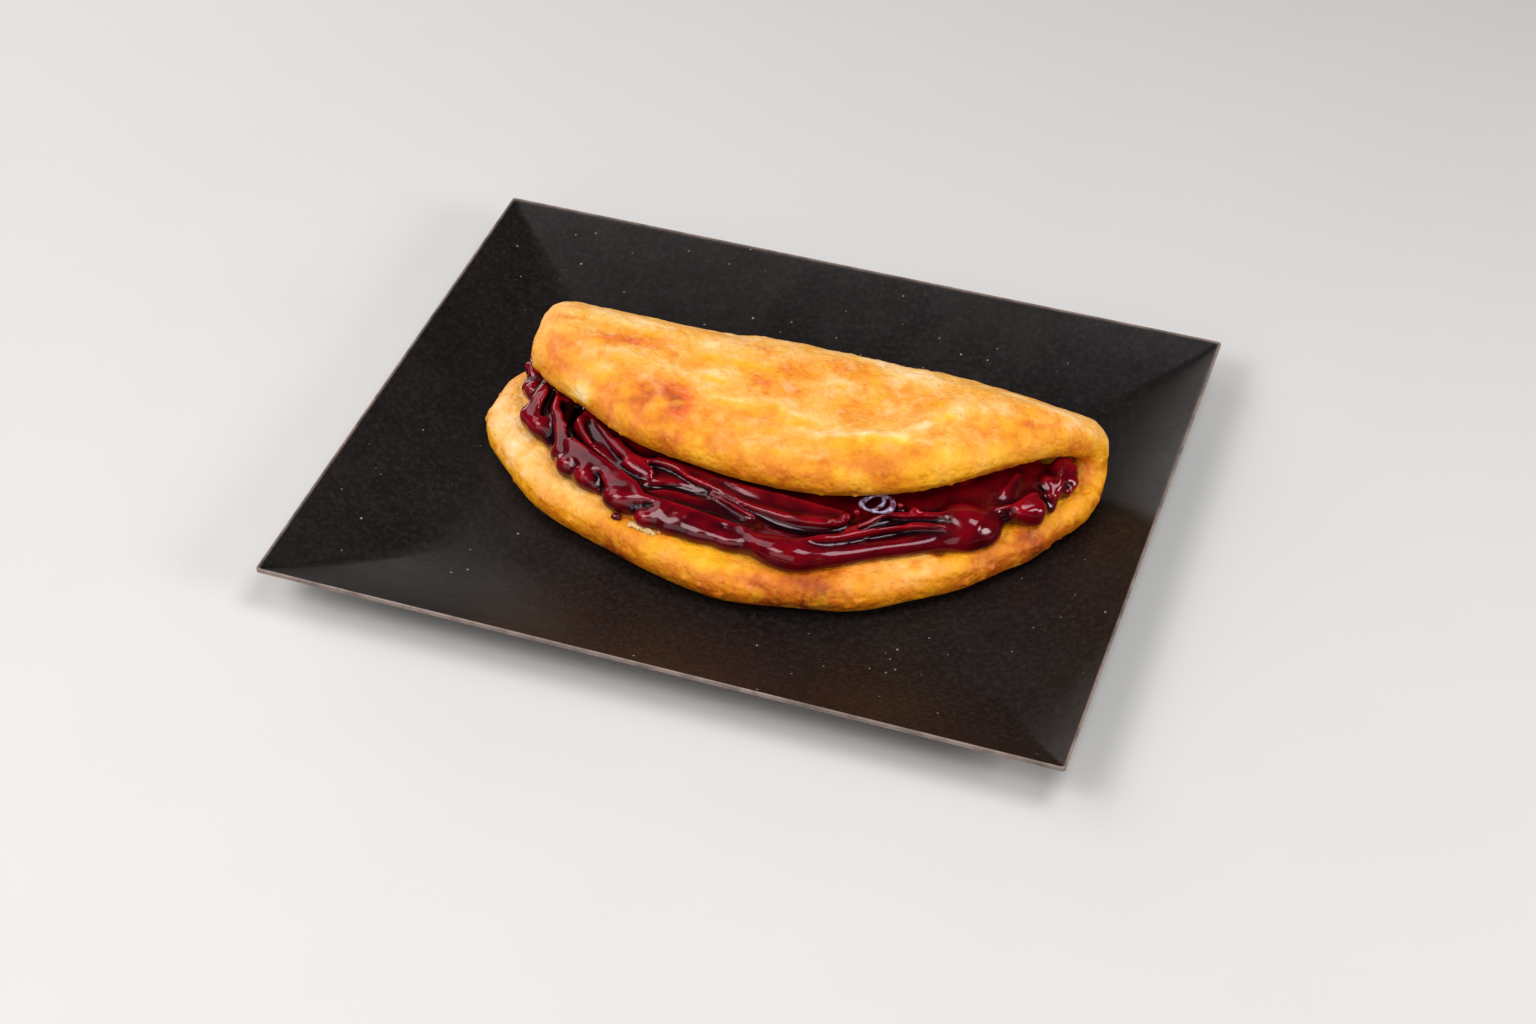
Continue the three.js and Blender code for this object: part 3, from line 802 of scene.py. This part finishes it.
def make_jam_shape(bread_points, bread_quads):
    """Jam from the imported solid, with its forms added, kept clear of the bread."""
    low, high = (np.array(corner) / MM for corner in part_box("cherry_jam"))
    field = Field(low - MARGIN, high + MARGIN, JAM_VOXEL)
    places, _ = field.places()
    bread = field.of_mesh(bread_points, quads=bread_quads)
    under_flap = ramp(places[..., 2], 18.5, 20.5) * (places[..., 1] < 0)
    field.values = jam_core(field, places, bread, under_flap)
    add_jam_forms(field)
    roughen_jam(field, places)
    settle_jam(field, bread, under_flap)
    points, quads = field.surface()
    points = smoothed(points, quads, rounds=8)

    # The heavy lobes in front hang smooth and round.
    x, y, z = points.T
    calm = ramp(z, 20.6, 18.6) * ramp(x, -20, 12) * ramp(y - bend_start(x), -10, -20)
    soft = smoothed(points, quads, rounds=round(CALM_SMOOTHING / JAM_VOXEL**2))
    return points + calm[:, None] * (soft - points), quads


def bubble_shape():
    """The rim of the burst bubble, and the strand left across it."""
    middle = np.array(BUBBLE)
    turn = np.radians(np.arange(0, 361, 15))
    rim = middle + 4.4 * np.cos(turn)[:, None] * BUBBLE_LONG
    rim += 3.4 * np.sin(turn)[:, None] * BUBBLE_ACROSS
    rim[:, 2] += 0.7 + 0.3 * np.sin(2 * turn)
    rim = np.column_stack([rim, 0.6 + 0.35 * np.cos(2 * turn + 0.6)])
    strand = [middle + 3 * BUBBLE_ACROSS + (2, 0, 0.6), middle + (1.4, 0.6, 0.3),
              middle - 3 * BUBBLE_ACROSS - (1.4, 0, -0.6)]
    field = Field(middle - 7, middle + 7, SMALL_VOXEL)
    field.add_rope(rim, blend=0.3)
    field.add_rope([(*place, 0.6) for place in strand], blend=1.2)
    points, quads = field.surface()
    return smoothed(points, quads, rounds=3), quads


def make_bubble():
    """The burst bubble's rim, its pale lilac and bluish colour a painted reflection on the thin film."""
    nodes = Nodes("bubble_film")
    film_glint = nodes.fit(nodes.noise(2), 0.4, 0.6)
    nodes.set(
        # Painted reflection: the pale, bluish colours stand in for light reflected by the film.
        Base_Color=nodes.mix(film_glint, (84, 30, 52), (150, 140, 170)),
        Roughness=0.12, Coat_Weight=1, Coat_Roughness=0.05)
    points, quads = bubble_shape()
    piece = make_object("bubble_rim", points, quads.tolist(), nodes.material)
    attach(piece, "root")


def jam_material():
    """Glossy dark red jam, with painted shade that turns it nearly black where its surface is hollow and
    darker low on the front.
    """
    nodes = Nodes("cherry_jam_gloss")
    thick = nodes.fit(nodes.noise(7, detail=3), 0.35, 0.7)
    colour = nodes.mix(thick, (92, 0, 11), (138, 3, 19))
    # Painted shade: the jam darkens towards near black where the value stored at its points is high, in
    # hollows and low on the front.
    colour = nodes.mix(nodes.fit(nodes.attribute("painted_shade"), -0.4, 0.3), colour, (12, 0, 4))
    ripples = nodes.bump(nodes.noise(5, detail=0, stretch=(0.6, 1, 1)), 0.04)
    nodes.set(
        Base_Color=colour, Normal=ripples,
        Roughness=nodes.fit(nodes.noise(8), 0.3, 0.7, 0.08, 0.15),
        IOR=1.43, Specular_Tint=(1, 0.78, 0.84, 1),
        Subsurface_Weight=0.15, Subsurface_Radius=(1, 0.12, 0.10), Subsurface_Scale=0.0015)
    return nodes.material


def make_jam(bread_points, bread_quads):
    """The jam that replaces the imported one, and its bubble. It gives the jam's material."""
    points, quads = make_jam_shape(bread_points, bread_quads)
    material = jam_material()

    # Painted shade for the material: how hollow the surface is in millimetres, and a little more low
    # down on the front.
    outward = smoothed(points, quads, rounds=40) - points
    painted_shade = (outward * point_normals(points, quads)).sum(axis=1)
    painted_shade += 0.25 * ramp(points[:, 2], 20, 16)
    piece = make_object("cherry_jam_spread", points, quads.tolist(), material, {"painted_shade": painted_shade})
    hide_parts("cherry_jam")
    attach(piece, "root")
    make_bubble()
    return material


# ------------ small things on the bread

def small_lump(centre, radii, seed):
    """A closed lump of the given half sizes with an uneven surface."""
    centre, radii = np.array(centre), np.array(radii)
    field = Field(centre - radii - 1, centre + radii + 1, SMALL_VOXEL)
    field.add_ball(centre, radii, blend=0.1)
    places, _ = field.places()
    field.values += 0.35 * radii.min() * noise(places, radii.min() * 1.6, seed)
    points, quads = field.surface()
    return smoothed(points, quads, rounds=2), quads


def join(shapes):
    """One mesh from several."""
    offsets = np.cumsum([0] + [len(points) for points, _ in shapes[:-1]])
    return (np.vstack([points for points, _ in shapes]),
            np.vstack([quads + offset for (_, quads), offset in zip(shapes, offsets)]))


def crumb_material():
    """Dry, pale crumb."""
    nodes = Nodes("soft_crumb")
    tone = nodes.noise(1.2, detail=3)
    nodes.set(
        Base_Color=nodes.ramp(tone, [(0.3, (190, 146, 86)), (0.7, (216, 184, 136))]),
        Roughness=0.8, IOR=1.3, Normal=nodes.bump(nodes.noise(0.5), 0.15),
        Subsurface_Weight=0.3, Subsurface_Radius=(1, 0.6, 0.4), Subsurface_Scale=0.001)
    return nodes.material


def speck_material():
    """Dark brown bits of burnt crumb."""
    nodes = Nodes("burnt_speck")
    colour = nodes.mix(nodes.noise(0.6), (58, 30, 16), (110, 64, 30))
    nodes.set(Base_Color=colour, Roughness=0.6)
    return nodes.material


def scattered(count, start, end, spread, sizes, seed):
    """Small flat lumps strewn along a line on the lower layer."""
    random = np.random.default_rng(seed)
    shapes = []
    for _ in range(count):
        centre = np.array(start) + random.uniform() * (np.array(end) - start)
        centre += (random.uniform(-1, 1), random.uniform(-1, 1), 0) * np.array(spread)
        radii = random.uniform(*sizes, 3) * (1.2, 1, 0.7)
        shapes.append(small_lump(centre, radii, int(random.integers(1000))))
    return shapes


def make_scraps(jam):
    """The drop of jam, the crumbs and the burnt specks beside the mouth. Each gets a painted shade value
    of 0, as a flat surface would.
    """
    drop = small_lump((-28.6, -38.6, 14.5), (1.4, 1.3, 1.2), 70)
    crumbs = join([small_lump((-22.4, -39.6, 13.9), (2.6, 1.4, 0.6), 74),
                   small_lump((-18.2, -40.6, 13.8), (1.8, 1.1, 0.6), 75),
                   *scattered(6, (-25, -39.8, 14), (-15, -41, 13.8), (1, 0.8, 0), (0.5, 1), 73)])
    specks = join(scattered(8, (-24, -40.6, 14.3), (-13, -41.2, 14.1), (1.6, 0.8, 0), (0.2, 0.34), 77))
    for name, (points, quads), material, slot in (
            ("jam_drop", drop, jam, "jam"), ("crumbs", crumbs, crumb_material(), "bread"),
            ("burnt_specks", specks, speck_material(), "bread")):
        piece = make_object(name, points, quads.tolist(), material, {"painted_shade": np.zeros(len(points))})
        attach(piece, "root")


# ------------ plate

SLOPE_STEPS = 40
CORNER_STEPS = 14
RIM_STEPS = 6
STEP_SPACING = 1.3  # above 1, the steps of a slope get smaller towards the rim
WORN_AND_HIGHLIT_EDGE = 1.6 * RIM_EDGE  # width of the paler line along the rim: partly wear, partly a painted highlight on its edge


def plate_ring(half_size, inset, z):
    """A rounded rectangle at an inset from the plate's edge, as rows of x, y and z."""
    radius = RIM_CORNER + CORNER_OPENING * inset
    rows = []
    for corner, signs in enumerate(((1, 1), (-1, 1), (-1, -1), (1, -1))):
        centre = signs * (half_size - inset - radius)
        for angle in np.radians(np.linspace(90 * corner, 90 * (corner + 1), CORNER_STEPS + 1)):
            rows.append((*(centre + radius * np.array([np.cos(angle), np.sin(angle)])), z))
    return rows


def plate_profile(height):
    """The rings' insets and heights, up the underside and down the upper side."""
    rise = height - PLATE_WALL
    insets = SLOPE_RUN * np.linspace(1, 0, SLOPE_STEPS + 1)[:-1] ** STEP_SPACING
    insets = insets[insets > 2 * RIM_EDGE]
    slope = rise * (1 - insets / SLOPE_RUN) ** 2
    turn = np.linspace(0, np.pi / 2, RIM_STEPS + 1)
    in_turn, out_turn = RIM_EDGE * (1 - np.sin(turn)), RIM_EDGE * (1 - np.cos(turn))
    rim = [*zip(in_turn, rise + out_turn), *zip(out_turn, height - in_turn)]
    return [*zip(insets, slope), *rim, *zip(insets[::-1], slope[::-1] + PLATE_WALL)]


def make_plate():
    """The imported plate's walls with smooth slopes and a rounded rim."""
    low, high = (np.array(corner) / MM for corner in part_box("plate"))
    size = high - low
    profile = plate_profile(size[2])
    points = np.vstack([plate_ring(size[:2] / 2, inset, z) for inset, z in profile])
    count = len(points) // len(profile)
    here = np.arange(count)
    after = np.roll(here, -1)
    faces = [[ring * count + a, ring * count + b, (ring + 1) * count + b, (ring + 1) * count + a]
             for ring in range(len(profile) - 1) for a, b in zip(here, after)]
    caps = [here[::-1].tolist(), (here + (len(profile) - 1) * count).tolist()]
    # The paler line along the rim, partly wear and partly a painted highlight.
    at_rim = np.repeat([float(inset < WORN_AND_HIGHLIT_EDGE) for inset, _ in profile], count)
    piece = make_object("plate_smooth", points, faces + caps, plate_material(), {"rim": at_rim})
    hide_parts("plate")
    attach(piece, "root")


def plate_material():
    """Satin black plastic with smudges, fine haze, dust, faint scratches, and a paler rim that is partly
    wear and partly a painted highlight.
    """
    nodes = Nodes("black_plastic")
    dust = nodes.math("MULTIPLY", nodes.fit(nodes.cells(4.4), 0.09, 0.05),
                      nodes.fit(nodes.noise(24, detail=2), 0.5, 0.62))
    smudge = nodes.fit(nodes.noise(30, detail=5), 0.4, 0.75)
    colour = nodes.mix(smudge, (14, 10, 10), (22, 17, 16))
    haze = nodes.fit(nodes.noise(1.6, detail=5, roughness=0.7), 0.45, 0.75, 0, 0.8)
    colour = nodes.mix(haze, colour, (42, 36, 35))
    colour = nodes.mix(nodes.math("MULTIPLY", dust, 0.7), colour, (170, 165, 158))
    # Paler along the rim: partly wear, partly a painted highlight where light catches the rim's edge.
    wear_and_highlight = nodes.fit(nodes.noise(6, detail=4), 0.35, 0.6, 0.5, 1)
    wear_and_highlight = nodes.math("MULTIPLY", nodes.attribute("rim"), wear_and_highlight)
    colour = nodes.mix(wear_and_highlight, colour, (136, 120, 112))
    scratches = nodes.bump(nodes.noise(1.1, detail=2, stretch=(0.05, 1, 1)), 0.006)
    satin = nodes.fit(nodes.noise(14, detail=6, roughness=0.65), 0.3, 0.7, 0.34, 0.46)
    nodes.set(Base_Color=colour, Normal=scratches, Roughness=satin, IOR=1.32)
    return nodes.material


# ------------ camera, light and floor

CAMERA_AZIMUTH = 20.20
CAMERA_ELEVATION = 42.92
CAMERA_ROLL = -1.13
CAMERA_DISTANCE = 787.5
CAMERA_TARGET = Vector((11.4, -23.7, 15))
CAMERA_LENS = 65.47
SENSOR_WIDTH = 36

LAMP_TARGET = Vector((0, 0, 20))
# Each lamp's azimuth, elevation, distance, width, depth, watts and colour.
LAMPS = {
    "key": (-38, 50, 900, 440, 380, 4.7, (1, 0.98, 0.96)),
    "top": (86, 69, 900, 400, 340, 3.8, (0.95, 0.97, 1)),
    "window": (264, 44, 950, 700, 500, 2.9, (1, 0.96, 0.97)),
    "front": (-10, 22, 1000, 900, 560, 2.6, (1, 0.96, 0.92)),
    "right": (78, 24, 1000, 340, 300, 5, (1, 0.97, 0.94)),
    "side": (230, 11, 900, 620, 280, 2.4, (1, 0.94, 0.92)),
}
FILL_COLOUR = (1, 0.96, 0.93, 1)
FILL_STRENGTH = 0.06
FLOOR_HALF = 3000  # half the floor's width
FLOOR_GAP = 0.05  # how far the floor lies below the plate


def aim(thing, azimuth, elevation, distance, target, roll=0):
    """Points a camera or lamp at its target. Azimuths are in degrees from -Y towards +X."""
    azimuth, elevation, roll = np.radians((azimuth, elevation, roll))
    level = np.cos(elevation)
    away = Vector((np.sin(azimuth) * level, -np.cos(azimuth) * level, np.sin(elevation)))
    turn = away.to_track_quat("Z", "Y").to_matrix() @ Matrix.Rotation(roll, 3, "Z")
    thing.matrix_world = Matrix.LocRotScale((target + away * distance) * MM, turn, None)
    bpy.context.collection.objects.link(thing)


def make_camera():
    camera = bpy.data.objects.new("camera", bpy.data.cameras.new("camera"))
    camera.data.lens = CAMERA_LENS
    camera.data.sensor_width = SENSOR_WIDTH
    aim(camera, CAMERA_AZIMUTH, CAMERA_ELEVATION, CAMERA_DISTANCE, CAMERA_TARGET, CAMERA_ROLL)
    bpy.context.scene.camera = camera


def add_lamp(name, azimuth, elevation, distance, width, depth, watts, colour):
    light = bpy.data.lights.new(name, "AREA")
    light.shape, light.size, light.size_y = "RECTANGLE", width * MM, depth * MM
    light.energy, light.color = watts, colour
    aim(bpy.data.objects.new(name, light), azimuth, elevation, distance, LAMP_TARGET)


def make_stage():
    """Soft lamps, faint light from all round, and a plain pale floor."""
    for name, settings in LAMPS.items():
        add_lamp(name, *settings)
    world = bpy.data.worlds.new("studio")
    world.use_nodes = True
    background = world.node_tree.nodes["Background"].inputs
    background["Color"].default_value = FILL_COLOUR
    background["Strength"].default_value = FILL_STRENGTH
    bpy.context.scene.world = world

    nodes = Nodes("pale_floor")
    tint = nodes.mix(nodes.noise(60), (197.26, 196.47, 194.88), (200.37, 199.60, 198.05))
    nodes.set(Base_Color=tint, Roughness=0.8)
    corners = FLOOR_HALF * np.array([(-1, -1, 0), (1, -1, 0), (1, 1, 0), (-1, 1, 0)])
    floor = make_object("floor", corners, [[0, 1, 2, 3]], nodes.material)
    floor.location.z = -FLOOR_GAP * MM
    bpy.context.scene.view_settings.view_transform = "Standard"


# ------------ the whole

make_camera()
make_stage()
make_plate()
bread = make_bread()
make_scraps(make_jam(*bread))
